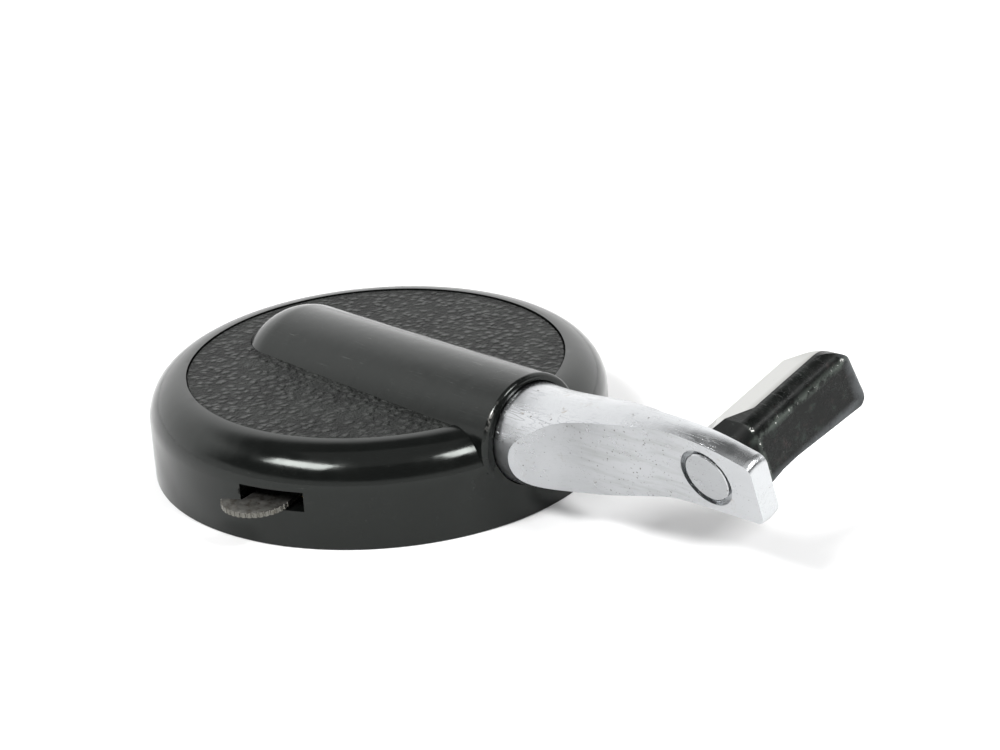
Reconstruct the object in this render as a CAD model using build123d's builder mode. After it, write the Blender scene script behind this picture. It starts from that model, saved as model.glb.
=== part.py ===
"""Film winding crank of a medium-format roll-film camera, as build123d parts in millimetres.

The crank is a round black housing that fits over the camera's winding shaft.  A half-round
ridge across the housing holds a tube, and a chromed arm swivels in that tube.  A grip block
spins on a spindle at the arm's tip.  A sheet-steel lever in the housing's side releases the
crank from the camera.

Row frame: origin on the housing's axis in the plane of its base, +Z away from the camera,
+X along the tube and the arm.
"""

import os
from math import atan2, cos, degrees, hypot, radians, sin

from build123d import *

os.makedirs("parts", exist_ok=True)


def polar(radius, angle):
    """The point at a radius and an angle in degrees, about the housing's axis."""
    return (radius * cos(radians(angle)), radius * sin(radians(angle)))


# ---------------------------------------------------------------- housing
disc_radius = 23.0
shoulder_radius = 4.0
rim_height = 9.8
wall_thickness = 2.2
# clearance of parts that are pressed or screwed together
fit_gap = 0.02
ceiling_height = 7.3
cavity_radius = disc_radius - wall_thickness
base_edge_chamfer = 0.1

# ---------------------------------------------------------------- leather
leather_radius = 19.0
leather_top = 9.68
leather_thickness = 0.7
leather_gap = 0.05
leather_edge_round = 0.2
recess_floor = leather_top - leather_thickness

# ---------------------------------------------------------------- ridge and tube
tube_height = 8.2
# the ridge sinks and widens a little on its way from the tube's mouth to its domed end
mouth_x = 22.4
ridge_height_at_axis = 5.9
ridge_climb = 0.082
ridge_radius_at_axis = 7.1
ridge_taper = 0.0388
dome_x = -10.8
dome_length = 6.7
dome_angles = (0, 15, 30, 45, 60, 75)
collar_bore_radius = 5.12
collar_bore_start = 17.5
journal_bore_radius = 4.55
bore_start = 9.5
lip_round = 0.45
saddle_start = 9.0
saddle_half_width = 7.2
saddle_bottom = 1.3

# ---------------------------------------------------------------- arm
rest_tilt = 16.3
collar_radius = 4.98
collar_start = 17.6
shank_radius = 4.0
shank_start = 9.75
arm_end = 53.1
blade_half = 1.1
tip_round = 0.9
# distance along the arm, rise of the section's centre, radius of the section
arm_stations = (
    (22.6, 0.0, collar_radius),
    (24.0, 0.03, 4.96),
    (27.5, 0.6, 4.78),
    (34.0, 2.05, 4.7),
    (39.0, 3.2, 4.35),
    (44.0, 3.85, 4.1),
    (48.0, 3.87, 3.93),
    (arm_end, 3.5, 3.39),
)
# distance along the arm, half thickness that the ground flats leave
flat_stations = ((24.0, 5.15), (26.0, 3.8), (29.0, 2.65), (34.0, 2.0), (40.0, 1.4), (46.0, blade_half))

# ---------------------------------------------------------------- bearing of the arm
bush_inner = shank_radius + 0.05
bush_outer = journal_bore_radius - fit_gap
bush_start = 9.8
bush_end = 17.3
ring_start = 19.0
ring_end = 20.5
ring_floor = 4.5
ring_outer = collar_bore_radius - 0.04
ring_round = 0.25
keeper_x = 13.0
keeper_radius = 1.2
keeper_dog_radius = 0.8
keeper_dog_top = 4.95
keeper_shoulder = 3.4
keeper_slot_width = 0.45
keeper_slot_depth = 0.5
groove_floor = 3.2
groove_half_width = 0.9
# travel of the arm from its rest angle, and the part of the groove that lets the dog pass
swivel_low = -16.3
swivel_high = 73.7
groove_margin = 16.0
detent_offset = 2.5
detent_ball_radius = 1.25
detent_bore_radius = 1.3
detent_bore_start = 1.5
detent_ball_x = shank_start - detent_ball_radius - 0.03
dimple_depth = 0.35
dimple_radius = 0.85
detent_wire = 0.13
detent_coil_radius = 1.0
detent_pitch = 0.8

# ---------------------------------------------------------------- spindle and grip
spindle_along = 47.1
spindle_rise = 3.75
head_radius = 2.5
head_thickness = 0.75
counterbore_radius = 2.98
counterbore_depth = 0.8
journal_radius = 1.6
thread_radius = 1.25
running_gap = 0.05
washer_outer = 3.1
washer_thickness = 0.35
grip_start = 1.55
grip_turn = 5.0
grip_half_width = 3.15
grip_half_height = 3.3
# the corner that the inlay is folded over: where the slope leaves the top and meets the side
slope_top = -1.2
slope_side = 1.8
grip_top_round = 1.6
grip_low_round = 1.0
# distance along the spindle, inset of the neck's right and top sides, height of the under side
grip_stations = ((grip_start, 0.9, -3.3), (3.4, 0, -2.85), (5.0, 0, -2.6), (7.0, 0, -2.55), (18.5, 0, -3.4))
# the slanting end: its furthest corner at mid height, and how it falls back across the grip and upwards
grip_end = 17.9
end_fall_across = 1.165
end_fall_up = 0.11
end_round = 0.7
end_low = 17.2
end_high = 16.3
end_low_round = 1.6
end_high_round = 2.6
insert_radius = 2.2
insert_end = 12.0
inlay_thickness = 0.7
inlay_right = 1.2
inlay_near_corner = 5.7
inlay_near_slope = 1.42

# ---------------------------------------------------------------- coupling to the camera
socket_radius = 3.0
socket_depth = 5.2
key_slot_width = 1.6
key_slot_depth = 1.2
hub_radius = 5.6
hub_flange_radius = 8.4
hub_flange_bottom = 5.6
hub_screw_circle = 7.0
hub_screw_angles = (90, 210, 330)
plate_bottom = 0.4
plate_top = 1.2
plate_radius = cavity_radius - 0.1
plate_hole_radius = 12.0
ring_hole_radius = 9.4
lug_radius = 7.2
lug_angles = (90, 210, 330)
lug_sweep = 36
ring_screw_circle = 10.65
ring_screw_angles = (30, 150, 270)
ring_boss_radius = 1.6
post_radius = 2.1
post_circle = 16.6
post_angles = (50, 140, 230, 320)
post_hole_radius = 1.0
post_hole_depth = 6.0
ring_boss_hole_radius = 0.8
ring_boss_hole_depth = 4.6
hub_hole_radius = 0.8
hub_hole_depth = 1.3
hub_clearance_radius = 0.85
plate_sink_radius = 1.95
ring_sink_radius = 1.3
plate_sink_taper = 40
ring_sink_taper = 35
screw_slot_share = 0.22
screw_slot_depth = 0.45
screw_slot_turn = 35

# ---------------------------------------------------------------- release lever
lever_bottom = 4.1
lever_thickness = 0.5
lever_top = lever_bottom + lever_thickness
lever_eye_radius = 2.0
lever_nose_width = 2.2
pivot = (8.45, -15.9)
nose_tip = (6.3, -6.9)
pivot_shoulder_radius = 1.2
pivot_head_low = 3.15
pivot_head_high = 3.9
pivot_thread_radius = 0.8
pivot_thread_length = 2.2
pivot_slot_width = 0.5
pivot_slot_depth = 0.35
washer_low = 3.91
washer_height = 0.15
pivot_boss_radius = 2.0
slot_low = 3.9
slot_high = 5.9
slot_from = -76.6
slot_to = -59.5
# the tab's rounded edge, first point, middle and last point, and its back edge through the slot
tab_arc = (polar(24.3, -79.8), polar(25.95, -74.6), polar(22.4, -64.0))
tab_back = (polar(20.6, -74.8), polar(23.5, -75.1))
tab_root = polar(19.6, -63.0)
tab_neck = 1.9
serration_radius = 0.13
serration_count = 17
spring_post = (11.5, -14.5)
spring_post_radius = 0.7
spring_post_low = 3.6
spring_post_length = 4.6
spring_post_seat = 1.1
# the leaf of the return spring: its root at the post, its middle and its free end at the lever's nose
spring_leaf = ((10.8, -14.95), (9.75, -12.1), (8.24, -9.25))
spring_thickness = 0.25
spring_low = 3.9
spring_high = 5.2

X_DIR = Vector(1, 0, 0)
SPINDLE_DIR = Vector(0, cos(radians(rest_tilt)), sin(radians(rest_tilt)))
RISE_DIR = Vector(0, -sin(radians(rest_tilt)), cos(radians(rest_tilt)))
GRIP_ACROSS = X_DIR * cos(radians(grip_turn)) + RISE_DIR * sin(radians(grip_turn))
GRIP_UP = RISE_DIR * cos(radians(grip_turn)) - X_DIR * sin(radians(grip_turn))
TUBE_CENTRE = Vector(0, 0, tube_height)


def arm_point(along, across, rise):
    """A point in the arm's own directions: along the tube, along the spindle, and up."""
    return TUBE_CENTRE + X_DIR * along + SPINDLE_DIR * across + RISE_DIR * rise


def arm_section(along):
    """Plane across the arm: local x runs along the spindle, local y up."""
    return Plane(origin=arm_point(along, 0, 0), x_dir=SPINDLE_DIR, z_dir=X_DIR)


def tube_section(along):
    """Plane across the tube in the housing: local x is row Y, local y is row Z."""
    return Plane(origin=(along, 0, tube_height), x_dir=(0, 1, 0), z_dir=(1, 0, 0))


def spindle_section(across):
    """Plane across the spindle: local x runs along the arm, local y up, its normal to the near side."""
    return Plane(
        origin=arm_point(spindle_along, across, spindle_rise),
        x_dir=X_DIR,
        z_dir=SPINDLE_DIR * -1,
    )


def grip_section(across):
    """Plane across the grip, turned with it about the spindle: local x across it, local y up."""
    return Plane(
        origin=arm_point(spindle_along, across, spindle_rise),
        x_dir=GRIP_ACROSS,
        z_dir=SPINDLE_DIR * -1,
    )


def grip_plan(rise):
    """Plane along the grip at a rise from its axis: local x across it, local y along the spindle."""
    return Plane(
        origin=arm_point(spindle_along, 0, spindle_rise) + GRIP_UP * rise,
        x_dir=GRIP_ACROSS,
        z_dir=GRIP_UP,
    )


def ridge_form(growth):
    """The ridge and the tube as one solid, grown by a clearance all round."""
    with BuildPart() as form:
        for along in (mouth_x, dome_x):
            with BuildSketch(tube_section(along)):
                with Locations((0, ridge_height_at_axis + ridge_climb * along - tube_height)):
                    Circle(ridge_radius_at_axis - ridge_taper * along + growth)
        loft()
        for angle in dome_angles:
            with BuildSketch(tube_section(dome_x - dome_length * sin(radians(angle)))):
                with Locations((0, ridge_height_at_axis + ridge_climb * dome_x - tube_height)):
                    Circle((ridge_radius_at_axis - ridge_taper * dome_x) * cos(radians(angle)) + growth)
        loft()
        # the rounded lip of the tube's mouth
        fillet(form.faces().sort_by(Axis.X)[-1].edges(), radius=lip_round)
    return form


def grip_corners(inset, bottom):
    """The corners of the grip's section; the inset takes its right and top sides inwards."""
    return [
        (grip_half_width - inset, bottom),
        (grip_half_width - inset, grip_half_height - inset),
        (slope_top, grip_half_height - inset),
        (-grip_half_width, slope_side - inset),
        (-grip_half_width, bottom),
    ]


def inlay_form(gap):
    """The space of the inlay: a folded sheet over the grip's sloped corner, cut short at an angle."""
    slope_run = Vector(slope_top + grip_half_width, grip_half_height - slope_side).normalized()
    slope_in = Vector(slope_run.Y, -slope_run.X)
    depth = inlay_thickness - gap
    fold = Vector(slope_top, grip_half_height) + slope_in * depth
    fold -= slope_run * ((fold.Y - grip_half_height + depth) / slope_run.Y)
    with BuildPart() as form:
        with BuildSketch(grip_section(0)):
            with BuildLine():
                Polyline(
                    (inlay_right - gap, grip_half_height + 2),
                    (inlay_right - gap, grip_half_height - depth),
                    (fold.X, fold.Y),
                    (fold.X - 4 * slope_run.X, fold.Y - 4 * slope_run.Y),
                    (fold.X - 4 * slope_run.X, grip_half_height + 2),
                    close=True,
                )
            make_face()
        extrude(amount=-grip_end - 2)
        with BuildSketch(grip_plan(-grip_half_height)):
            with BuildLine():
                Polyline(
                    (inlay_right, inlay_near_corner + gap),
                    (inlay_right, grip_end + 2),
                    (inlay_right - 6, grip_end + 2),
                    (inlay_right - 6, inlay_near_corner + gap - 6 * inlay_near_slope),
                    close=True,
                )
            make_face()
        extrude(amount=3 * grip_half_height, mode=Mode.INTERSECT)
    return form


def finish(piece, label):
    """Labels a finished piece and writes its STEP file."""
    piece.part.label = label
    export_step(piece.part, f"parts/{label}.step")


def screw_group(places, low, cap_radius, cap_height, stem_radius, stem_top, taper):
    """Makes identical slotted screws, heads down, at places; flush heads taper like a countersink."""
    with BuildPart() as screws:
        with BuildSketch(Plane.XY.offset(low)):
            with Locations(*places):
                Circle(cap_radius)
        extrude(amount=cap_height, taper=taper)
        with BuildSketch(Plane.XY.offset(low + cap_height / 2)):
            with Locations(*places):
                Circle(stem_radius)
        extrude(amount=stem_top - low - cap_height / 2)
        with BuildSketch(Plane.XY.offset(low)):
            with Locations(*places):
                Rectangle(3 * cap_radius, screw_slot_share * cap_radius, rotation=screw_slot_turn)
        extrude(amount=screw_slot_depth * cap_height, mode=Mode.SUBTRACT)
    return screws


# ================================================================ housing
post_places = [polar(post_circle, angle) for angle in post_angles]
ring_screw_places = [polar(ring_screw_circle, angle) for angle in ring_screw_angles]
hub_screw_places = [polar(hub_screw_circle, angle) for angle in hub_screw_angles]

with BuildPart() as housing:
    with BuildSketch(Plane.XZ):
        with BuildLine():
            Line((0, 0), (disc_radius, 0))
            Line((disc_radius, 0), (disc_radius, rim_height - shoulder_radius))
            CenterArc(
                (disc_radius - shoulder_radius, rim_height - shoulder_radius),
                shoulder_radius,
                0,
                90,
            )
            Line((disc_radius - shoulder_radius, rim_height), (0, rim_height))
            Line((0, rim_height), (0, 0))
        make_face()
    revolve(axis=Axis.Z)
    # the recess that the leather lies in
    with BuildSketch(Plane.XY.offset(rim_height)):
        Circle(leather_radius)
    extrude(amount=recess_floor - rim_height, mode=Mode.SUBTRACT)
    add(ridge_form(0).part)
    # everything under the ceiling is hollow
    with BuildSketch(Plane.XY.offset(ceiling_height)):
        Circle(cavity_radius)
    extrude(amount=-2 * ceiling_height, mode=Mode.SUBTRACT)
    # the saddle that closes the tube from below
    with BuildSketch(Plane.XY.offset(saddle_bottom)):
        Circle(cavity_radius + wall_thickness / 2)
        with Locations((saddle_start + disc_radius / 2, 0)):
            Rectangle(disc_radius, 2 * saddle_half_width, mode=Mode.INTERSECT)
    extrude(amount=ceiling_height - saddle_bottom)
    # posts and bosses for the screws, the lever's pivot and its spring
    with BuildSketch(Plane.XY.offset(ceiling_height)):
        with Locations(*post_places):
            Circle(post_radius)
        with Locations(*ring_screw_places):
            Circle(ring_boss_radius)
    extrude(amount=plate_top + 0.05 - ceiling_height)
    with BuildSketch(Plane.XY.offset(ceiling_height)):
        with Locations(pivot):
            Circle(pivot_boss_radius)
    extrude(amount=lever_top + running_gap - ceiling_height)
    # the tube's bore, the detent's bore and the keeper screw's hole
    with BuildSketch(tube_section(bore_start)):
        Circle(journal_bore_radius)
    extrude(amount=disc_radius, mode=Mode.SUBTRACT)
    with BuildSketch(tube_section(collar_bore_start)):
        Circle(collar_bore_radius)
    extrude(amount=disc_radius, mode=Mode.SUBTRACT)
    with BuildSketch(tube_section(detent_bore_start)):
        with Locations((0, detent_offset)):
            Circle(detent_bore_radius)
    extrude(amount=bore_start - detent_bore_start, mode=Mode.SUBTRACT)
    with BuildSketch(Plane.XY.offset(saddle_bottom)):
        with Locations((keeper_x, 0)):
            Circle(keeper_radius + 0.05)
    extrude(amount=tube_height - saddle_bottom, mode=Mode.SUBTRACT)
    # screw holes
    with BuildSketch(Plane.XY.offset(plate_bottom)):
        with Locations(*post_places):
            Circle(post_hole_radius)
    extrude(amount=post_hole_depth, mode=Mode.SUBTRACT)
    with BuildSketch(Plane.XY.offset(plate_bottom)):
        with Locations(*ring_screw_places):
            Circle(ring_boss_hole_radius)
    extrude(amount=ring_boss_hole_depth, mode=Mode.SUBTRACT)
    with BuildSketch(Plane.XY.offset(ceiling_height - 0.1)):
        with Locations(*hub_screw_places):
            Circle(hub_hole_radius)
    extrude(amount=hub_hole_depth, mode=Mode.SUBTRACT)
    with BuildSketch(Plane.XY.offset(lever_top)):
        with Locations(pivot):
            Circle(pivot_thread_radius + running_gap)
    extrude(amount=pivot_thread_length + 0.2, mode=Mode.SUBTRACT)
    with BuildSketch(Plane.XY.offset(ceiling_height - 0.1)):
        with Locations(spring_post):
            Circle(spring_post_radius)
    extrude(amount=spring_post_seat, mode=Mode.SUBTRACT)
    # the lever's slot in the wall
    with BuildSketch(Plane.XY.offset(slot_low)):
        with BuildLine():
            Polyline(
                polar(cavity_radius - 1, slot_from),
                polar(disc_radius + 3, slot_from),
                polar(disc_radius + 3, slot_to),
                polar(cavity_radius - 1, slot_to),
                close=True,
            )
        make_face()
    extrude(amount=slot_high - slot_low, mode=Mode.SUBTRACT)
    base_edges = housing.edges().filter_by(GeomType.CIRCLE).group_by(Axis.Z)[0]
    chamfer(base_edges, length=base_edge_chamfer)
finish(housing, "housing")

# ================================================================ leather
with BuildPart() as leather_panel:
    with BuildSketch(Plane.XY.offset(recess_floor)):
        Circle(leather_radius - leather_gap)
    extrude(amount=leather_thickness)
    add(ridge_form(leather_gap).part, mode=Mode.SUBTRACT)
    leather_rim = leather_panel.edges().filter_by(GeomType.CIRCLE).group_by(Axis.Z)[-1]
    fillet(leather_rim, radius=leather_edge_round)
finish(leather_panel, "leather_panel")

# ================================================================ arm and its bearing
with BuildPart() as arm_bush:
    with BuildSketch(tube_section(bush_start)):
        Circle(bush_outer)
        Circle(bush_inner, mode=Mode.SUBTRACT)
    extrude(amount=bush_end - bush_start)
    with BuildSketch(Plane.XY.offset(saddle_bottom)):
        with Locations((keeper_x, 0)):
            Circle(keeper_dog_radius + 0.1)
    extrude(amount=tube_height - saddle_bottom, mode=Mode.SUBTRACT)
finish(arm_bush, "arm_bush")

with BuildPart() as crank_arm:
    for along, rise, radius in arm_stations:
        with BuildSketch(arm_section(along)):
            with Locations((0, rise)):
                Circle(radius)
    loft()
    with BuildSketch(arm_section(shank_start)):
        Circle(shank_radius)
    extrude(amount=arm_stations[0][0] - shank_start)
    with BuildSketch(arm_section(collar_start)):
        Circle(collar_radius)
    extrude(amount=arm_stations[0][0] - collar_start)
    # the two flats, ground in from the full round of the shank down to the thin blade
    with BuildSketch(Plane(origin=arm_point(0, 0, -12), x_dir=X_DIR, z_dir=RISE_DIR)):
        with BuildLine():
            flat = Spline(*flat_stations, tangents=[(0.6, -1), (1, 0)])
            Polyline(flat @ 1, (arm_end, blade_half), (arm_end, 0), (0, 0), (0, 6), (24, 6), flat @ 0)
        make_face()
        mirror(about=Plane.XZ)
    extrude(amount=30, mode=Mode.INTERSECT)
    # the rounded top and bottom corners of the tip
    tip_edges = crank_arm.faces().sort_by(Axis.X)[-1].edges().sort_by(Axis.Z)
    fillet([tip_edges[0], tip_edges[-1]], radius=tip_round)
    # the counterbore and the bearing hole of the spindle
    with BuildSketch(spindle_section(-blade_half - 1)):
        Circle(counterbore_radius)
    extrude(amount=-1 - counterbore_depth, mode=Mode.SUBTRACT)
    with BuildSketch(spindle_section(-blade_half - 1)):
        Circle(journal_radius + running_gap)
    extrude(amount=-2 * blade_half - 2, mode=Mode.SUBTRACT)
    # the groove of the friction ring
    with BuildSketch(arm_section(ring_start - running_gap)):
        Circle(collar_radius + 1)
        Circle(ring_floor, mode=Mode.SUBTRACT)
    extrude(amount=ring_end - ring_start + 2 * running_gap, mode=Mode.SUBTRACT)
    # the part-turn groove that the keeper screw's dog runs in, which sets the swivel's limits
    with BuildSketch(arm_section(keeper_x - groove_half_width)):
        with BuildLine():
            groove_arc = CenterArc(
                (0, 0),
                shank_radius + 1,
                -90 - rest_tilt - swivel_high - groove_margin,
                swivel_high - swivel_low + 2 * groove_margin,
            )
            Polyline(groove_arc @ 1, (0, 0), groove_arc @ 0)
        make_face()
        Circle(groove_floor, mode=Mode.SUBTRACT)
    extrude(amount=2 * groove_half_width, mode=Mode.SUBTRACT)
    # the two dimples that the detent ball drops into, a quarter turn apart
    with BuildSketch(arm_section(shank_start)):
        with Locations((0, detent_offset), (detent_offset, 0)):
            Circle(dimple_radius)
    extrude(amount=dimple_depth, taper=40, mode=Mode.SUBTRACT)
finish(crank_arm, "crank_arm")

with BuildPart() as friction_ring:
    with BuildSketch(tube_section(ring_start)):
        Circle(ring_outer)
        Circle(ring_floor, mode=Mode.SUBTRACT)
    extrude(amount=ring_end - ring_start)
    fillet(friction_ring.edges().filter_by(GeomType.CIRCLE), radius=ring_round)
finish(friction_ring, "friction_ring")

with BuildPart() as keeper_screw:
    with BuildSketch(Plane.XY.offset(saddle_bottom)):
        with Locations((keeper_x, 0)):
            Circle(keeper_radius)
    extrude(amount=keeper_shoulder - saddle_bottom)
    with BuildSketch(Plane.XY.offset(keeper_shoulder)):
        with Locations((keeper_x, 0)):
            Circle(keeper_dog_radius)
    extrude(amount=keeper_dog_top - keeper_shoulder)
    with BuildSketch(Plane.XY.offset(saddle_bottom)):
        with Locations((keeper_x, 0)):
            Rectangle(3 * keeper_radius, keeper_slot_width)
    extrude(amount=keeper_slot_depth, mode=Mode.SUBTRACT)
finish(keeper_screw, "keeper_screw")

with BuildPart() as detent_ball:
    with Locations((detent_ball_x, 0, tube_height + detent_offset)):
        Sphere(detent_ball_radius)
finish(detent_ball, "detent_ball")

detent_spring_start = detent_bore_start + detent_wire + fit_gap
detent_spring_end = detent_ball_x - detent_ball_radius * 0.8 - detent_wire
with BuildPart() as detent_spring:
    with BuildLine():
        detent_helix = Helix(
            pitch=detent_pitch,
            height=detent_spring_end - detent_spring_start,
            radius=detent_coil_radius,
            center=(detent_spring_start, 0, tube_height + detent_offset),
            direction=(1, 0, 0),
        )
    with BuildSketch(Plane(origin=detent_helix @ 0, z_dir=detent_helix % 0)):
        Circle(detent_wire)
    sweep(is_frenet=True)
finish(detent_spring, "detent_spring")

# ================================================================ spindle and grip
with BuildPart() as grip_spindle:
    with BuildSketch(spindle_section(-blade_half + 0.03)):
        Circle(head_radius)
    extrude(amount=-head_thickness)
    chamfer(grip_spindle.edges().filter_by(GeomType.CIRCLE).sort_by(Axis.Y)[0], length=0.1)
    with BuildSketch(spindle_section(-blade_half + head_thickness)):
        Circle(journal_radius)
    extrude(amount=head_thickness - blade_half - grip_start)
    with BuildSketch(spindle_section(grip_start)):
        Circle(thread_radius)
    extrude(amount=grip_start - insert_end + 1.5)
finish(grip_spindle, "grip_spindle")

with BuildPart() as grip_washer:
    with BuildSketch(spindle_section(blade_half + running_gap)):
        Circle(washer_outer)
        Circle(journal_radius, mode=Mode.SUBTRACT)
    extrude(amount=-washer_thickness)
finish(grip_washer, "grip_washer")

# the grip's outer form, before the inlay is let into it: a neck that widens to a long prism
with BuildPart() as grip_blank:
    for across, inset, bottom in grip_stations:
        with BuildSketch(grip_section(across)) as grip_face:
            with BuildLine():
                Polyline(*grip_corners(inset, bottom), close=True)
            make_face()
            right_corners = grip_face.vertices().sort_by(Axis.X)[-2:].sort_by(Axis.Y)
            fillet(right_corners[1], radius=grip_top_round)
            left_corner = grip_face.vertices().sort_by(Axis.Y)[0:2].sort_by(Axis.X)[0]
            fillet([right_corners[0], left_corner], radius=grip_low_round)
    loft(ruled=True)
    # the slanting end, rounded in plan
    end_plane = Plane(
        origin=arm_point(spindle_along, 0, spindle_rise),
        x_dir=GRIP_ACROSS,
        z_dir=GRIP_UP - SPINDLE_DIR * end_fall_up,
    )
    with BuildSketch(end_plane) as plan_face:
        with BuildLine():
            Polyline(
                (-2 * grip_half_width, -grip_start),
                (grip_half_width, -grip_start),
                (grip_half_width, grip_end),
                (-2 * grip_half_width, grip_end - 3 * grip_half_width * end_fall_across),
                close=True,
            )
        make_face()
        fillet(plan_face.vertices().sort_by(Axis.Y)[-1], radius=end_round)
    extrude(amount=3 * grip_half_height, both=True, mode=Mode.INTERSECT)
    # and in side view
    side_plane = Plane(
        origin=arm_point(spindle_along, 0, spindle_rise),
        x_dir=SPINDLE_DIR,
        z_dir=GRIP_ACROSS,
    )
    with BuildSketch(side_plane) as side_face:
        with BuildLine():
            Polyline(
                (-grip_start, -grip_half_height),
                (end_low, -grip_half_height),
                (end_high, grip_half_height),
                (-grip_start, grip_half_height),
                close=True,
            )
        make_face()
        end_corners = side_face.vertices().sort_by(Axis.X)[-2:]
        fillet(end_corners[1], radius=end_low_round)
        fillet(side_face.vertices().sort_by(Axis.Y)[-2:].sort_by(Axis.X)[-1], radius=end_high_round)
    extrude(amount=3 * grip_half_width, both=True, mode=Mode.INTERSECT)

with BuildPart() as grip:
    add(grip_blank.part)
    with BuildSketch(grip_section(grip_start)):
        Circle(insert_radius)
    extrude(amount=grip_start - insert_end, mode=Mode.SUBTRACT)
    add(inlay_form(0).part, mode=Mode.SUBTRACT)
finish(grip, "grip")

with BuildPart() as grip_inlay:
    add(grip_blank.part)
    add(inlay_form(0.03).part, mode=Mode.INTERSECT)
finish(grip_inlay, "grip_inlay")

with BuildPart() as grip_insert:
    with BuildSketch(grip_section(grip_start + fit_gap)):
        Circle(insert_radius - fit_gap)
        Circle(thread_radius, mode=Mode.SUBTRACT)
    extrude(amount=grip_start - insert_end + 0.1)
finish(grip_insert, "grip_insert")

# ================================================================ coupling to the camera
with BuildPart() as coupling_hub:
    with BuildSketch(Plane.XY):
        Circle(hub_radius)
    extrude(amount=hub_flange_bottom)
    with BuildSketch(Plane.XY.offset(hub_flange_bottom)):
        Circle(hub_flange_radius)
    extrude(amount=ceiling_height - hub_flange_bottom - fit_gap)
    with BuildSketch(Plane.XY):
        Circle(socket_radius)
    extrude(amount=socket_depth, mode=Mode.SUBTRACT)
    with BuildSketch(Plane.XY):
        Rectangle(3 * hub_radius, key_slot_width)
    extrude(amount=key_slot_depth, mode=Mode.SUBTRACT)
    with BuildSketch(Plane.XY.offset(hub_flange_bottom)):
        with Locations(*hub_screw_places):
            Circle(hub_clearance_radius)
    extrude(amount=ceiling_height, mode=Mode.SUBTRACT)
finish(coupling_hub, "coupling_hub")

with BuildPart() as back_plate:
    with BuildSketch(Plane.XY.offset(plate_bottom)):
        Circle(plate_radius)
        Circle(plate_hole_radius, mode=Mode.SUBTRACT)
    extrude(amount=plate_top - plate_bottom)
    with BuildSketch(Plane.XY.offset(plate_bottom)):
        with Locations(*post_places):
            Circle(plate_sink_radius)
    extrude(amount=plate_top - plate_bottom, taper=plate_sink_taper, mode=Mode.SUBTRACT)
finish(back_plate, "back_plate")

with BuildPart() as bayonet_ring:
    with BuildSketch(Plane.XY.offset(plate_bottom)):
        Circle(plate_hole_radius - 0.05)
        Circle(ring_hole_radius, mode=Mode.SUBTRACT)
        for angle in lug_angles:
            with BuildLine():
                lug_arc = CenterArc((0, 0), ring_hole_radius + 0.3, angle - lug_sweep / 2, lug_sweep)
                Line(lug_arc @ 1, polar(lug_radius, angle + lug_sweep / 2))
                inner_arc = CenterArc((0, 0), lug_radius, angle - lug_sweep / 2, lug_sweep)
                Line(inner_arc @ 0, lug_arc @ 0)
            make_face()
    extrude(amount=plate_top - plate_bottom)
    with BuildSketch(Plane.XY.offset(plate_bottom)):
        with Locations(*ring_screw_places):
            Circle(ring_sink_radius)
    extrude(amount=plate_top - plate_bottom, taper=ring_sink_taper, mode=Mode.SUBTRACT)
finish(bayonet_ring, "bayonet_ring")

plate_screws = screw_group(
    post_places,
    plate_bottom,
    cap_radius=1.9,
    cap_height=0.75,
    stem_radius=0.95,
    stem_top=5.4,
    taper=plate_sink_taper,
)
finish(plate_screws, "plate_screws")
ring_screws = screw_group(
    ring_screw_places,
    plate_bottom,
    cap_radius=1.2,
    cap_height=0.6,
    stem_radius=0.75,
    stem_top=4.2,
    taper=plate_sink_taper,
)
finish(ring_screws, "ring_screws")
hub_screws = screw_group(
    hub_screw_places,
    hub_flange_bottom - 0.6,
    cap_radius=1.2,
    cap_height=0.58,
    stem_radius=0.75,
    stem_top=8.4,
    taper=0,
)
finish(hub_screws, "hub_screws")

# ================================================================ release lever
nose_reach = hypot(nose_tip[0] - pivot[0], nose_tip[1] - pivot[1])
nose_angle = degrees(atan2(nose_tip[1] - pivot[1], nose_tip[0] - pivot[0]))
nose_middle = ((nose_tip[0] + pivot[0]) / 2, (nose_tip[1] + pivot[1]) / 2)

with BuildPart() as release_lever:
    with BuildSketch(Plane.XY.offset(lever_bottom)):
        with BuildLine():
            tab_edge = ThreePointArc(*tab_arc)
            Polyline(tab_edge @ 1, tab_root, pivot, (pivot[0] - tab_neck, pivot[1]), *tab_back, tab_edge @ 0)
        make_face()
        with Locations(pivot):
            Circle(lever_eye_radius)
        with Locations(nose_middle):
            SlotCenterToCenter(nose_reach, lever_nose_width, rotation=nose_angle)
        with Locations(pivot):
            Circle(pivot_shoulder_radius + running_gap, mode=Mode.SUBTRACT)
        # the serrated edge under the fingertip
        with Locations(*[tab_edge @ ((step + 0.5) / serration_count) for step in range(serration_count)]):
            Circle(serration_radius, mode=Mode.SUBTRACT)
    extrude(amount=lever_thickness)
finish(release_lever, "release_lever")

with BuildPart() as lever_pivot_screw:
    with BuildSketch(Plane.XY.offset(pivot_head_low)):
        with Locations(pivot):
            Circle(lever_eye_radius)
    extrude(amount=pivot_head_high - pivot_head_low)
    with BuildSketch(Plane.XY.offset(pivot_head_high)):
        with Locations(pivot):
            Circle(pivot_shoulder_radius)
    extrude(amount=lever_top + running_gap - pivot_head_high)
    with BuildSketch(Plane.XY.offset(lever_top)):
        with Locations(pivot):
            Circle(pivot_thread_radius)
    extrude(amount=pivot_thread_length)
    with BuildSketch(Plane.XY.offset(pivot_head_low)):
        with Locations(pivot):
            Rectangle(3 * lever_eye_radius, pivot_slot_width, rotation=25)
    extrude(amount=pivot_slot_depth, mode=Mode.SUBTRACT)
finish(lever_pivot_screw, "lever_pivot_screw")

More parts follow.
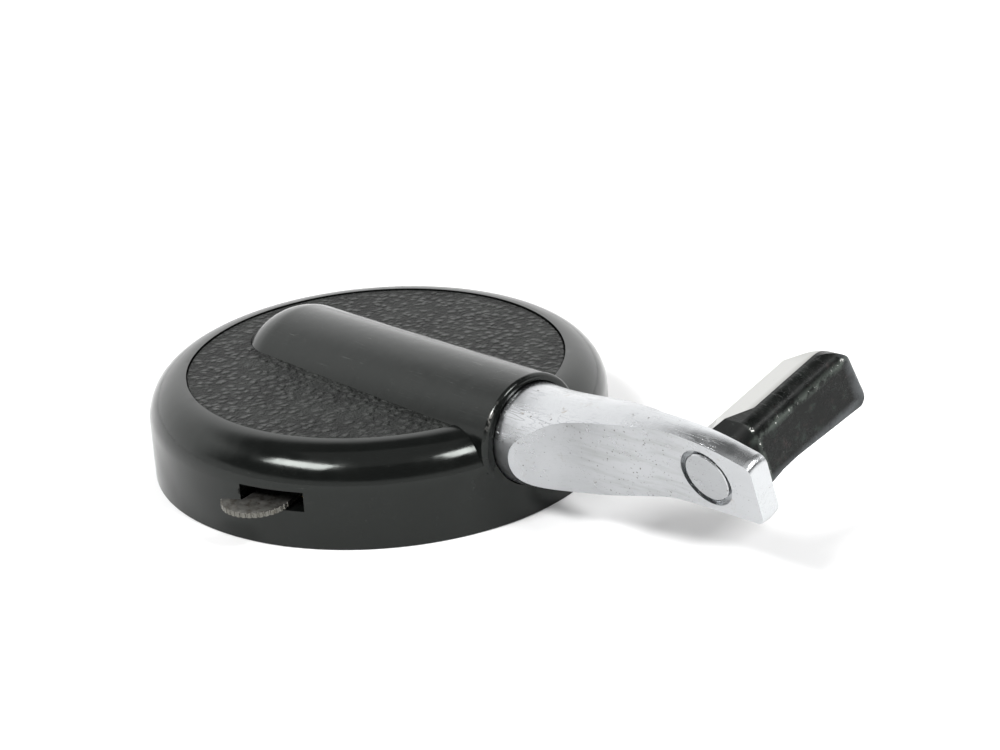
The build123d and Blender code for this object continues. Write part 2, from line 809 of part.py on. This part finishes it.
with BuildPart() as lever_washer:
    with BuildSketch(Plane.XY.offset(washer_low)):
        with Locations(pivot):
            Circle(lever_eye_radius + 0.1)
            Circle(pivot_shoulder_radius + fit_gap, mode=Mode.SUBTRACT)
    extrude(amount=washer_height)
finish(lever_washer, "lever_washer")

with BuildPart() as spring_post_pin:
    with BuildSketch(Plane.XY.offset(spring_post_low)):
        with Locations(spring_post):
            Circle(spring_post_radius)
    extrude(amount=spring_post_length)
    chamfer(spring_post_pin.edges().filter_by(GeomType.CIRCLE).group_by(Axis.Z)[0], length=0.15)
finish(spring_post_pin, "spring_post")

with BuildPart() as return_spring:
    with BuildSketch(Plane.XY.offset(spring_low)):
        with Locations(spring_post):
            Circle(spring_post_radius + spring_thickness + fit_gap)
        with BuildLine():
            ThreePointArc(*spring_leaf)
        trace(line_width=spring_thickness)
        with Locations(spring_post):
            Circle(spring_post_radius + fit_gap, mode=Mode.SUBTRACT)
    extrude(amount=spring_high - spring_low)
finish(return_spring, "return_spring")
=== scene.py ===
"""Looks, light and camera for the film winding crank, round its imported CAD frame."""

from math import cos, pi, radians, sin

import bpy
from mathutils import Matrix, Vector

MM = 0.001

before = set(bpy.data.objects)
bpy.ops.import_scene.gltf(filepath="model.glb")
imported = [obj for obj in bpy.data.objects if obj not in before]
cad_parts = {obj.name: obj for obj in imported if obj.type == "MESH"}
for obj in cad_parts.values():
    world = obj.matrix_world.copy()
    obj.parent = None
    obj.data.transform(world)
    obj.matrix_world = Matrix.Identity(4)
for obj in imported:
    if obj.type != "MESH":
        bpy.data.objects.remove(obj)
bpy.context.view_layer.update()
scene = bpy.context.scene
scene.view_settings.view_transform = "Standard"

# ------------------------------------------------------------------ camera
CAMERA_AZIMUTH = radians(48.08)
CAMERA_ELEVATION = radians(23.17)
CAMERA_ROLL = radians(-3.89)
CAMERA_DISTANCE = 303.93 * MM
CAMERA_ASIDE = 11.81 * MM
CAMERA_ABOVE = 7.40 * MM
CAMERA_LENS = 108
SENSOR_WIDTH = 36


def make_camera():
    """Puts the camera where it looks down on the crank past the arm's tip."""
    level_right = Vector((cos(CAMERA_AZIMUTH), sin(CAMERA_AZIMUTH), 0))
    level_ahead = Vector((-sin(CAMERA_AZIMUTH), cos(CAMERA_AZIMUTH), 0))
    ahead = level_ahead * cos(CAMERA_ELEVATION) - Vector((0, 0, sin(CAMERA_ELEVATION)))
    level_up = level_ahead * sin(CAMERA_ELEVATION) + Vector((0, 0, cos(CAMERA_ELEVATION)))
    right = level_right * cos(CAMERA_ROLL) + level_up * sin(CAMERA_ROLL)
    up = level_up * cos(CAMERA_ROLL) - level_right * sin(CAMERA_ROLL)
    data = bpy.data.cameras.new("camera")
    data.lens = CAMERA_LENS
    data.sensor_width = SENSOR_WIDTH
    data.clip_start = 0.01
    data.clip_end = 20
    camera = bpy.data.objects.new("camera", data)
    scene.collection.objects.link(camera)
    place = Matrix((right, up, -ahead)).transposed().to_4x4()
    place.translation = right * CAMERA_ASIDE + up * CAMERA_ABOVE - ahead * CAMERA_DISTANCE
    camera.matrix_world = place
    scene.camera = camera


make_camera()


# ------------------------------------------------------------------ places on the part, in millimetres
RIM_HEIGHT = 9.8
TUBE_HEIGHT = 8.2
LIP_RADIUS = 6.15
LIP_START = 21.9
LEVER_EDGE_RADIUS = 24.6
SPINDLE_ALONG = 47.1
SPINDLE_RISE = 3.75
# the grip's own directions: across it, along its spindle, and up, from the spindle's foot in the arm
REST_TILT = radians(16.3)
GRIP_TURN = radians(5.0)
GRIP_ORIGIN = Vector(
    (SPINDLE_ALONG, -SPINDLE_RISE * sin(REST_TILT), TUBE_HEIGHT + SPINDLE_RISE * cos(REST_TILT))
)
SPINDLE_DIR = Vector((0, cos(REST_TILT), sin(REST_TILT)))
RISE_DIR = Vector((0, -sin(REST_TILT), cos(REST_TILT)))
GRIP_ACROSS = Vector((1, 0, 0)) * cos(GRIP_TURN) + RISE_DIR * sin(GRIP_TURN)
GRIP_UP = RISE_DIR * cos(GRIP_TURN) - Vector((1, 0, 0)) * sin(GRIP_TURN)


# ------------------------------------------------------------------ materials
def add_node(tree, kind, inputs=None, **settings):
    """Adds a node to a tree, with constants or links on its inputs."""
    node = tree.nodes.new(kind)
    for key, value in settings.items():
        setattr(node, key, value)
    for key, value in (inputs or {}).items():
        if isinstance(value, bpy.types.NodeSocket):
            tree.links.new(value, node.inputs[key])
        else:
            node.inputs[key].default_value = value
    return node


class Look:
    """A procedural material in the making; its textures are laid out in millimetres."""

    def __init__(self, name, metallic=0.0, ior=1.5):
        self.material = bpy.data.materials.new(name)
        self.material.use_nodes = True
        self.tree = self.material.node_tree
        self.tree.nodes.clear()
        self.shader = self.add("ShaderNodeBsdfPrincipled", {"Metallic": metallic, "IOR": ior})
        output = self.add("ShaderNodeOutputMaterial")
        self.tree.links.new(self.shader.outputs[0], output.inputs["Surface"])
        place = self.add("ShaderNodeTexCoord").outputs["Object"]
        scale = self.add("ShaderNodeVectorMath", {0: place, "Scale": 1 / MM}, operation="SCALE")
        self.place = scale.outputs[0]
        self.bumps = None

    def add(self, kind, inputs=None, **settings):
        """Adds a node to the material, with constants or links on its inputs."""
        return add_node(self.tree, kind, inputs, **settings)

    def math(self, operation, first, second=0.0):
        return self.add("ShaderNodeMath", {0: first, 1: second}, operation=operation).outputs[0]

    def along(self, direction, origin=(0, 0, 0)):
        """Distance along a direction from an origin, in millimetres."""
        moved = self.add("ShaderNodeVectorMath", {0: self.place, 1: origin}, operation="SUBTRACT").outputs[0]
        return self.dot(moved, direction)

    def stretched(self, turn, scale):
        """The place, turned and then scaled, for textures that run in one direction."""
        return self.add("ShaderNodeMapping", {0: self.place, 2: turn, 3: scale}).outputs[0]

    def noise(self, scale, detail=2.0, roughness=0.5, place=None, offset=0.0):
        spot = place or self.place
        if offset:
            spot = self.add("ShaderNodeVectorMath", {0: spot, 1: (offset,) * 3}, operation="ADD").outputs[0]
        keys = {"Vector": spot, "Scale": scale, "Detail": detail, "Roughness": roughness}
        return self.add("ShaderNodeTexNoise", keys).outputs[0]

    def cells(self, scale, place=None, feature="F1", smoothness=0.5):
        keys = {"Vector": place or self.place, "Scale": scale}
        if feature == "SMOOTH_F1":
            keys["Smoothness"] = smoothness
        return self.add("ShaderNodeTexVoronoi", keys, feature=feature).outputs[0]

    def level(self, value, low, high, out_low=0.0, out_high=1.0):
        """Maps a range of values to another, held at its ends."""
        keys = {0: value, 1: low, 2: high, 3: out_low, 4: out_high}
        return self.add("ShaderNodeMapRange", keys).outputs[0]

    def near(self, value, centre, reach):
        """One at the centre, falling to nothing at the reach on either side."""
        offset = self.math("ABSOLUTE", self.math("SUBTRACT", value, centre))
        return self.level(offset, 0, reach, 1, 0)

    def dot(self, vector, direction):
        """How far a vector reaches along a direction."""
        keys = {0: vector, 1: direction}
        return self.add("ShaderNodeVectorMath", keys, operation="DOT_PRODUCT").outputs["Value"]

    def both(self, first, second):
        """Where two masks overlap."""
        return self.math("MULTIPLY", first, second)

    def either(self, first, second):
        """Where one of two masks or values is the stronger."""
        return self.math("MAXIMUM", first, second)

    def blend(self, factor, first, second):
        """Mixes two colours; a factor of one gives the second."""
        node = self.add("ShaderNodeMix", data_type="RGBA")
        for key, value in ((0, factor), (6, first), (7, second)):
            if isinstance(value, bpy.types.NodeSocket):
                self.tree.links.new(value, node.inputs[key])
            else:
                node.inputs[key].default_value = (*value, 1) if key else value
        return node.outputs[2]

    def scratches(self, turn, width=0.012, length=0.06, pitch=2.2, seed=0.0):
        """Fine, long lines that run in one direction, in patches."""
        place = self.stretched(turn, (length, pitch, pitch))
        lines = self.near(self.noise(1, 1, 0.4, place, seed), 0.5, width)
        return self.both(lines, self.level(self.noise(0.25, 2, 0.5, None, seed + 7), 0.45, 0.6))

    def pits(self, scale, size, amount, seed=0.0):
        """Small round spots of uneven size, only in some places."""
        uneven = self.level(self.noise(scale * 1.3, 2, 0.5, None, seed + 2), 0.35, 0.65, 0, size)
        spots = self.level(self.math("ADD", self.cells(scale), uneven), size * 0.6, size, 1, 0)
        patches = self.noise(scale * 0.35, 2, 0.5, None, seed)
        return self.both(spots, self.level(patches, 1 - amount, 1.05 - amount))

    def bump(self, height, depth):
        """Adds relief, its depth in millimetres."""
        keys = {"Strength": 1.0, "Distance": depth * MM, "Height": height}
        if self.bumps is not None:
            keys["Normal"] = self.bumps
        self.bumps = self.add("ShaderNodeBump", keys).outputs[0]

    def done(self, colour, roughness=None, metallic=None):
        """Links the finished layers to the shader and returns the material."""
        layers = {"Base Color": colour, "Roughness": roughness, "Metallic": metallic, "Normal": self.bumps}
        for key, value in layers.items():
            if value is not None:
                self.tree.links.new(value, self.shader.inputs[key])
        return self.material


def enamel():
    """Black stoved enamel with a soft sheen, fine scratches, dust, and a lip worn to the metal."""
    look = Look("black_enamel", ior=1.38)
    look.shader.inputs["Specular Tint"].default_value = (0.95, 1.0, 0.96, 1)
    height = look.along((0, 0, 1))
    forward = look.along((1, 0, 0))
    tone = look.noise(0.35, 3)
    colour = look.blend(tone, (0.0022, 0.0026, 0.0024), (0.0050, 0.0056, 0.0052))
    top = look.level(height, RIM_HEIGHT, RIM_HEIGHT + 1.2)
    fine = look.scratches((0, 0, 0.9), 0.006, 0.10, 2.0, 3)
    cross = look.scratches((0.3, 0.2, 2.2), 0.005, 0.12, 2.4, 11)
    marks = look.both(look.either(fine, cross), look.level(top, 0, 1, 0.3, 1.0))
    pale = look.both(marks, look.level(look.noise(0.9, 2), 0.45, 0.7))
    colour = look.blend(pale, colour, (0.07, 0.075, 0.07))
    dust = look.pits(2.6, 0.12, 0.40, 5)
    colour = look.blend(look.level(dust, 0, 1, 0, 0.35), colour, (0.16, 0.16, 0.15))
    # the lip of the tube's mouth, worn through in specks
    section = look.add("ShaderNodeVectorMath", {0: look.place, 1: (0, 1, 1)}, operation="MULTIPLY").outputs[0]
    from_axis = look.add("ShaderNodeVectorMath", {0: section, 1: (0, 0, TUBE_HEIGHT)}, operation="DISTANCE")
    side = look.along((0, -1, 0))
    lip = look.near(from_axis.outputs["Value"], LIP_RADIUS, 0.4)
    lip = look.both(lip, look.level(forward, LIP_START, LIP_START + 0.3))
    lip = look.both(lip, look.both(look.near(height, 11.5, 1.5), look.level(side, 2.0, 3.0)))
    worn = look.both(lip, look.level(look.noise(1.6, 4, 0.65), 0.44, 0.56))
    colour = look.blend(worn, colour, (0.62, 0.61, 0.58))
    roughness = look.level(look.noise(0.5, 4, 0.6), 0.3, 0.7, 0.10, 0.19)
    roughness = look.either(roughness, look.level(marks, 0, 1, 0, 0.34))
    look.bump(look.noise(0.55, 2), 0.008)
    look.bump(marks, 0.0015)
    look.bump(look.noise(9, 2), 0.0012)
    return look.done(colour, roughness, worn)


def leather():
    """Black leatherette with an irregular pebble grain, shiny on its crests."""
    look = Look("leatherette", ior=1.33)
    warp = look.add("ShaderNodeTexNoise", {"Vector": look.place, "Scale": 0.8, "Detail": 2.0}).outputs[1]
    shift = look.add("ShaderNodeVectorMath", {0: warp, "Scale": 0.8}, operation="SCALE").outputs[0]
    place = look.add("ShaderNodeVectorMath", {0: look.place, 1: shift}, operation="ADD").outputs[0]
    pebble = look.cells(1.15, place, "SMOOTH_F1", 0.35)
    small = look.cells(2.8, place, "SMOOTH_F1", 0.4)
    crest = look.level(pebble, 0.15, 0.55, 1, 0)
    fine = look.noise(5, 3, 0.6)
    height = look.math("ADD", crest, look.level(small, 0, 0.7, 0.28, 0))
    height = look.math("ADD", height, look.level(fine, 0.3, 0.7, 0, 0.18))
    colour = look.blend(crest, (0.002, 0.0025, 0.002), (0.020, 0.022, 0.020))
    colour = look.blend(look.level(look.noise(0.2, 3), 0.4, 0.7, 0, 0.5), colour, (0.024, 0.027, 0.024))
    dust = look.pits(3.4, 0.17, 0.45, 2)
    colour = look.blend(look.level(dust, 0, 1, 0, 0.5), colour, (0.12, 0.12, 0.115))
    roughness = look.level(crest, 0, 1, 0.60, 0.40)
    look.bump(height, 0.36)
    return look.done(colour, roughness)


def satin_chrome(name, shade, brown, seed):
    """Old satin chrome: a faint polish grain, fine scratches, pits, brown stains, a painted highlight on its
    rounded top near the tip, and a flat worn in streaks along its middle, darkened there also with painted
    shade.
    """

    def tint(red, green, blue):
        return (shade * red, shade * green, shade * blue)

    look = Look(name, 1.0)
    forward = look.along((1, 0, 0))
    normal = look.add("ShaderNodeTexCoord").outputs["Normal"]
    # one on the flat side that faces away from the grip
    flat = look.level(look.dot(normal, -SPINDLE_DIR), 0.80, 0.95)
    tone = look.noise(0.3, 3, 0.5, None, seed)
    colour = look.blend(tone, tint(0.40, 0.409, 0.42), tint(0.48, 0.489, 0.50))
    # painted highlight: the rounded top, away from the flat, is lightened towards the tip
    tip_painted_highlight = look.both(look.level(forward, 40, 48), look.math("SUBTRACT", 1.0, flat))
    colour = look.blend(look.level(tip_painted_highlight, 0, 1, 0, 0.8), colour, tint(0.60, 0.615, 0.626))
    grain = look.noise(1, 2, 0.6, look.stretched((0, 0, 0), (0.7, 5, 5)), seed)
    fine = look.scratches((0.2, 0.9, 0.3), 0.012, 0.05, 2.4, seed)
    cross = look.scratches((0.1, -0.7, 0.2), 0.010, 0.06, 2.8, seed + 4)
    marks = look.either(fine, cross)
    colour = look.blend(look.level(marks, 0, 1, 0, 0.45), colour, tint(0.32, 0.33, 0.34))
    middle = look.both(look.level(look.near(forward, 38, 10), 0, 0.5), flat)
    pits = look.pits(1.7, 0.22, 0.50, seed)
    worn = look.both(look.pits(2.3, 0.30, 0.60, seed + 5), middle)
    tiny = look.both(look.pits(4.2, 0.30, 0.52, seed + 3), look.level(flat, 0, 1, 0.3, 0.8))
    spots = look.either(look.either(pits, worn), tiny)
    # streaks worn along the middle of the flat, their darkening partly painted shade
    drawn = look.stretched((0, 0, 0), (0.09, 1.3, 1.3))
    streaks_and_painted_shade = look.both(middle, look.level(look.noise(1, 4, 0.65, drawn, seed + 13), 0.48, 0.64))
    colour = look.blend(look.level(streaks_and_painted_shade, 0, 1, 0, 0.42), colour, tint(0.30, 0.305, 0.30))
    colour = look.blend(look.level(spots, 0, 1, 0, 0.85), colour, (0.13, 0.12, 0.105))
    stain = look.level(look.noise(0.8, 5, 0.7, None, seed + 9), 0.66 - 0.03 * brown, 0.74)
    colour = look.blend(look.level(stain, 0, 1, 0, 0.55), colour, (0.30, 0.26, 0.21))
    roughness = look.level(look.noise(0.6, 4, 0.6, None, seed), 0.3, 0.7, 0.26, 0.36)
    roughness = look.math("SUBTRACT", roughness, look.level(flat, 0, 1, 0.07, 0))
    roughness = look.either(roughness, look.level(spots, 0, 1, 0, 0.6))
    look.bump(grain, 0.003)
    look.bump(look.math("SUBTRACT", 1.0, look.either(spots, marks)), 0.008)
    look.bump(look.noise(0.22, 2, 0.5, None, seed), 0.03)
    return look.done(colour, roughness)


def grip_plastic():
    """Black moulded plastic, scuffed grey-green, with grey wear and white specks along its edges, the white
    specks partly painted glints.
    """
    look = Look("black_plastic", ior=1.26)
    across = look.along(GRIP_ACROSS, GRIP_ORIGIN)
    along = look.along(SPINDLE_DIR, GRIP_ORIGIN)
    up = look.along(GRIP_UP, GRIP_ORIGIN)
    cloudy = look.noise(0.55, 4, 0.65)
    colour = look.blend(cloudy, (0.0015, 0.002, 0.002), (0.006, 0.007, 0.006))
    drawn = look.stretched((0, 0, 0), (1, 0.6, 1))
    scuff = look.level(look.noise(0.9, 5, 0.7, drawn, 3), 0.54, 0.66)
    scuff = look.both(scuff, look.level(across, 2.6, 3.0, 0.15, 1.0))
    colour = look.blend(look.level(scuff, 0, 1, 0, 0.7), colour, (0.022, 0.031, 0.026))
    rust = look.level(look.noise(1.1, 4, 0.6, None, 21), 0.60, 0.70)
    colour = look.blend(look.level(rust, 0, 1, 0, 0.5), colour, (0.032, 0.022, 0.021))
    fine = look.scratches((0.5, 0.4, 0.9), 0.014, 0.12, 2.4, 6)
    cross = look.scratches((-0.6, 0.3, 0.2), 0.012, 0.10, 2.9, 15)
    marks = look.either(fine, cross)
    colour = look.blend(look.level(marks, 0, 1, 0, 0.5), colour, (0.07, 0.072, 0.07))
    # edges worn grey and flecked white, the white flecks partly painted glints: along the upper edge of the
    # right side, and round the neck
    edge = look.both(look.near(up, 1.95, 0.55), look.level(across, 2.7, 3.0))
    neck = look.both(look.near(along, 3.45, 0.32), look.level(across, 2.2, 2.6))
    edges = look.either(edge, neck)
    grey = look.both(edges, look.level(look.noise(0.8, 3, 0.6, None, 4), 0.42, 0.55))
    colour = look.blend(look.level(grey, 0, 1, 0, 0.7), colour, (0.085, 0.10, 0.088))
    # painted glints, partly worn specks: near-white flecks along those edges
    white = look.both(edges, look.level(look.noise(1.5, 4, 0.7, None, 12), 0.59, 0.66))
    colour = look.blend(look.level(white, 0.2, 0.6), colour, (0.78, 0.78, 0.75))
    # painted reflection: the rounded under edge and the far end are lightened to a dull bluish grey, in
    # patches
    floor_reflection_paint = look.both(look.level(up, -2.0, -2.7), look.level(along, 2.0, 4.0))
    floor_reflection_paint = look.either(floor_reflection_paint, look.level(along, 15.2, 16.4))
    floor_reflection_paint = look.both(floor_reflection_paint, look.level(look.noise(0.7, 3), 0.25, 0.5, 0.5, 1.0))
    colour = look.blend(look.level(floor_reflection_paint, 0, 1, 0, 0.75), colour, (0.105, 0.112, 0.118))
    roughness = look.level(cloudy, 0.3, 0.7, 0.22, 0.40)
    roughness = look.either(roughness, look.level(along, 3.2, 3.9, 0.55, 0))
    roughness = look.either(roughness, look.level(scuff, 0, 1, 0, 0.5))
    look.bump(look.noise(1.2, 5, 0.65), 0.014)
    look.bump(marks, 0.004)
    return look.done(colour, roughness)


def painted_reflection_sheet():
    """Pale metal sheet, matt, with a fine grain along it: a painted reflection of the grip's glossy top face,
    with darker edges of painted shade where that reflection fades.
    """
    look = Look("inlay_metal", 0.55)
    along = look.along(SPINDLE_DIR, GRIP_ORIGIN)
    across = look.along(GRIP_ACROSS, GRIP_ORIGIN)
    grain = look.noise(1, 3, 0.6, look.stretched((0.28, 0, 0), (7, 0.8, 7)))
    colour = look.blend(grain, (0.47, 0.47, 0.458), (0.54, 0.54, 0.528))
    # painted shade: darker across the sheet's side and towards its far end, where the reflection fades
    soft = look.level(across, 0.5, 1.2, 0, 0.5)
    far = look.level(along, 12.5, 15.0, 0, 0.35)
    colour = look.blend(look.either(soft, far), colour, (0.20, 0.20, 0.19))
    specks = look.pits(2.8, 0.14, 0.42, 8)
    colour = look.blend(look.level(specks, 0, 1, 0, 0.5), colour, (0.25, 0.24, 0.22))
    roughness = look.level(grain, 0.3, 0.7, 0.42, 0.54)
    look.bump(grain, 0.004)
    return look.done(colour, roughness)


def lever_steel():
    """Bare sheet steel, brushed and a little brown, darker on its cut edges and near the serration."""
    look = Look("lever_steel", 1.0)
    tone = look.noise(0.9, 4, 0.6)
    colour = look.blend(tone, (0.28, 0.275, 0.255), (0.50, 0.49, 0.46))
    stain = look.level(look.noise(1.5, 4, 0.7, None, 5), 0.5, 0.66)
    colour = look.blend(look.level(stain, 0, 1, 0, 0.7), colour, (0.13, 0.10, 0.07))
    reach = look.add("ShaderNodeVectorMath", {0: look.place, 1: (1, 1, 0)}, operation="MULTIPLY").outputs[0]
    radius = look.add("ShaderNodeVectorMath", {0: reach}, operation="LENGTH").outputs["Value"]
    # darker towards the outer, serrated edge, in patches
    outer_darkening = look.level(radius, LEVER_EDGE_RADIUS, LEVER_EDGE_RADIUS + 1)
    outer_darkening = look.both(outer_darkening, look.level(look.noise(2.5, 2), 0.35, 0.6))
    colour = look.blend(look.level(outer_darkening, 0, 1, 0, 0.6), colour, (0.24, 0.235, 0.215))
    normal = look.add("ShaderNodeTexCoord").outputs["Normal"]
    upright = look.dot(normal, (0, 0, 1))
    rim = look.level(look.math("ABSOLUTE", upright), 0.5, 0.2)
    colour = look.blend(look.level(rim, 0, 1, 0, 0.75), colour, (0.10, 0.098, 0.085))
    roughness = look.level(tone, 0.3, 0.7, 0.34, 0.50)
    look.bump(look.noise(1, 3, 0.6, look.stretched((0, 0, 0.5), (0.6, 6, 6))), 0.006)
    return look.done(colour, roughness)


# phase of the lathe's rings, in radians a millimetre
LATHE_RING_PHASE = 42.0


def turned_metal(name, colour, roughness):
    """Machined metal with the fine rings of the lathe, faint stains and small scratches."""
    look = Look(name, 1.0)
    flat = look.add("ShaderNodeVectorMath", {0: look.place, 1: (1, 1, 0)}, operation="MULTIPLY").outputs[0]
    radius = look.add("ShaderNodeVectorMath", {0: flat}, operation="LENGTH").outputs["Value"]
    rings = look.math("SINE", look.math("MULTIPLY", radius, LATHE_RING_PHASE))
    tone = look.noise(0.5, 4, 0.6)
    dark = tuple(0.78 * c for c in colour)
    shade = look.blend(tone, dark, colour)
    stain = look.level(look.noise(0.9, 5, 0.7, None, 6), 0.60, 0.72)
    shade = look.blend(look.level(stain, 0, 1, 0, 0.4), shade, tuple(0.45 * c for c in colour))
    marks = look.scratches((0.2, 0.1, 0.8), 0.012, 0.08, 2.3, 9)
    rough = look.level(tone, 0.3, 0.7, roughness - 0.05, roughness + 0.07)
    rough = look.either(rough, look.level(marks, 0, 1, 0, roughness + 0.15))
    look.bump(rings, 0.0015)
    look.bump(look.math("SUBTRACT", 1.0, marks), 0.004)
    return look.done(shade, rough)


def rubber():
    """Matt black rubber with a fine moulded grain."""
    look = Look("black_rubber", ior=1.5)
    tone = look.noise(1.5, 4, 0.6)
    colour = look.blend(tone, (0.010, 0.010, 0.010), (0.030, 0.030, 0.029))
    look.bump(look.noise(7, 3, 0.6), 0.01)
    return look.done(colour, look.level(tone, 0.3, 0.7, 0.55, 0.75))


STEEL = turned_metal("bare_steel", (0.50, 0.50, 0.49), 0.30)
SCREW = turned_metal("screw_steel", (0.46, 0.46, 0.45), 0.34)
BRASS = turned_metal("brass", (0.66, 0.50, 0.23), 0.32)
LOOKS = {
    "housing": enamel(),
    "leather_panel": leather(),
    "crank_arm": satin_chrome("satin_chrome", 1.0, 1.0, 2.0),
    "grip_spindle": satin_chrome("spindle_chrome", 0.82, 0.0, 17.0),
    "grip": grip_plastic(),
    # the grip_inlay part is a pale sheet that stands for a painted reflection on the grip's top face
    "grip_inlay": painted_reflection_sheet(),
    "release_lever": lever_steel(),
    "back_plate": turned_metal("plate_aluminium", (0.60, 0.61, 0.62), 0.34),
    "friction_ring": rubber(),
    "return_spring": turned_metal("spring_steel", (0.22, 0.24, 0.30), 0.28),
    "detent_spring": turned_metal("spring_steel_small", (0.30, 0.31, 0.33), 0.28),
}
for fastener in ("plate_screws", "ring_screws", "hub_screws", "keeper_screw", "lever_pivot_screw"):
    LOOKS[fastener] = SCREW
LOOKS["grip_washer"] = SCREW
for bearing in ("arm_bush", "grip_insert", "lever_washer"):
    LOOKS[bearing] = BRASS

for name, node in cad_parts.items():
    node.data.materials.clear()
    node.data.materials.append(LOOKS.get(name, STEEL))


# ------------------------------------------------------------------ floor and light, in metres
FLOOR_WIDTH = 6.0
LAMP_DISTANCE = 0.95


def floor_paper():
    """White paper with a hardly visible mottle."""
    look = Look("floor_paper")
    colour = look.blend(look.noise(0.05, 3), (0.88, 0.88, 0.88), (0.92, 0.92, 0.92))
    look.shader.inputs["Roughness"].default_value = 0.9
    look.shader.inputs["Specular IOR Level"].default_value = 0.0
    return look.done(colour)


def make_floor():
    """Lays a square of paper in the plane of the housing's base."""
    half = FLOOR_WIDTH / 2
    corners = [(-half, -half, 0), (half, -half, 0), (half, half, 0), (-half, half, 0)]
    mesh = bpy.data.meshes.new("floor")
    mesh.from_pydata(corners, [], [(0, 1, 2, 3)])
    floor = bpy.data.objects.new("floor", mesh)
    scene.collection.objects.link(floor)
    mesh.materials.append(floor_paper())


make_floor()


def strip_lamp(name, azimuth, elevation, width, height, radiance):
    """A long soft lamp that faces the crank from an azimuth and an elevation, in degrees."""
    data = bpy.data.lights.new(name, "AREA")
    data.shape = "RECTANGLE"
    data.size = width
    data.size_y = height
    data.energy = radiance * pi * width * height
    lamp = bpy.data.objects.new(name, data)
    scene.collection.objects.link(lamp)
    turn, rise = radians(azimuth), radians(elevation)
    towards = Vector((cos(turn) * cos(rise), sin(turn) * cos(rise), sin(rise)))
    lamp.location = towards * LAMP_DISTANCE
    lamp.rotation_euler = (-towards).to_track_quat("-Z", "Y").to_euler()


strip_lamp("lamp_left", -92, 49, 0.44, 0.21, 30)
strip_lamp("lamp_right", 9, 49, 0.25, 0.21, 30)
strip_lamp("ceiling", -39, 74, 0.8, 0.8, 0.40)


def make_world():
    """A pale room behind the crank and a dark one at the camera's side; the camera itself sees white."""
    world = bpy.data.worlds.new("studio")
    world.use_nodes = True
    tree = world.node_tree
    tree.nodes.clear()

    def ramp(value, start, end, first, last):
        """Falls smoothly from a first strength to a last between two heights or sides."""
        keys = {0: value, 1: start, 2: end, 3: first, 4: last}
        return add_node(tree, "ShaderNodeMapRange", keys, interpolation_type="SMOOTHSTEP").outputs[0]

    towards = add_node(tree, "ShaderNodeTexCoord").outputs["Generated"]
    front_direction = (sin(CAMERA_AZIMUTH), -cos(CAMERA_AZIMUTH), 0)
    front = add_node(tree, "ShaderNodeVectorMath", {0: towards, 1: front_direction}, operation="DOT_PRODUCT")
    height = add_node(tree, "ShaderNodeSeparateXYZ", {0: towards}).outputs["Z"]
    behind = ramp(front.outputs["Value"], -0.28, 0.24, 1.0, 0.0)
    low = ramp(height, 0.60, 0.86, 1.7, 0.0)
    horizon = ramp(height, 0.16, 0.26, 1.2, 0.14)
    room = add_node(tree, "ShaderNodeMath", {0: behind, 1: low}, operation="MULTIPLY").outputs[0]
    room = add_node(tree, "ShaderNodeMath", {0: room, 1: horizon}, operation="MAXIMUM").outputs[0]
    seen = add_node(tree, "ShaderNodeLightPath").outputs["Is Camera Ray"]
    strength = add_node(tree, "ShaderNodeMapRange", {0: seen, 3: room, 4: 1.0}).outputs[0]
    background = add_node(tree, "ShaderNodeBackground", {"Color": (1, 1, 1, 1), "Strength": strength})
    add_node(tree, "ShaderNodeOutputWorld", {"Surface": background.outputs[0]})
    scene.world = world


make_world()
